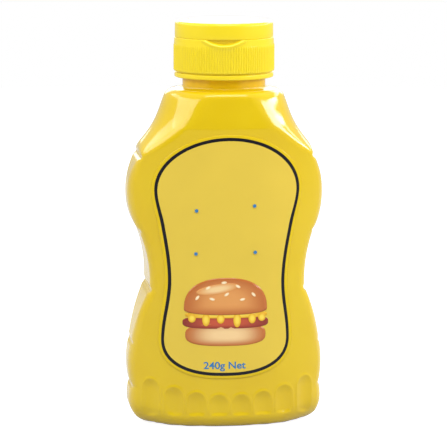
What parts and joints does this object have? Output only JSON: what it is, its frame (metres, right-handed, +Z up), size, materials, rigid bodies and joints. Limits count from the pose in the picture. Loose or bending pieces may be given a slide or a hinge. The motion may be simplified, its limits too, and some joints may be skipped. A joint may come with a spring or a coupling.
{
  "type": "squeeze bottle of mustard",
  "caption": "Waisted squeeze bottle with pillowed sides, fluted foot, ribbed flip-top closure and hourglass label films, shut and full.",
  "frame": {"origin": "on the ground, at the middle of the base", "axes": "+Z up, +X across the front, the printed front label faces -Y"},
  "size_m": [0.0692, 0.0414, 0.141],
  "materials": {
    "bottle_plastic": "glossy moulded mustard yellow",
    "closure_plastic": "semi-gloss lemon yellow",
    "label_film": "glossy printed film"
  },
  "bodies": {
    "root": {"bottle": "bottle_plastic", "cap": "closure_plastic", "lid": "closure_plastic", "label_front": "label_film", "label_back": "label_film"}
  },
  "joints": []
}
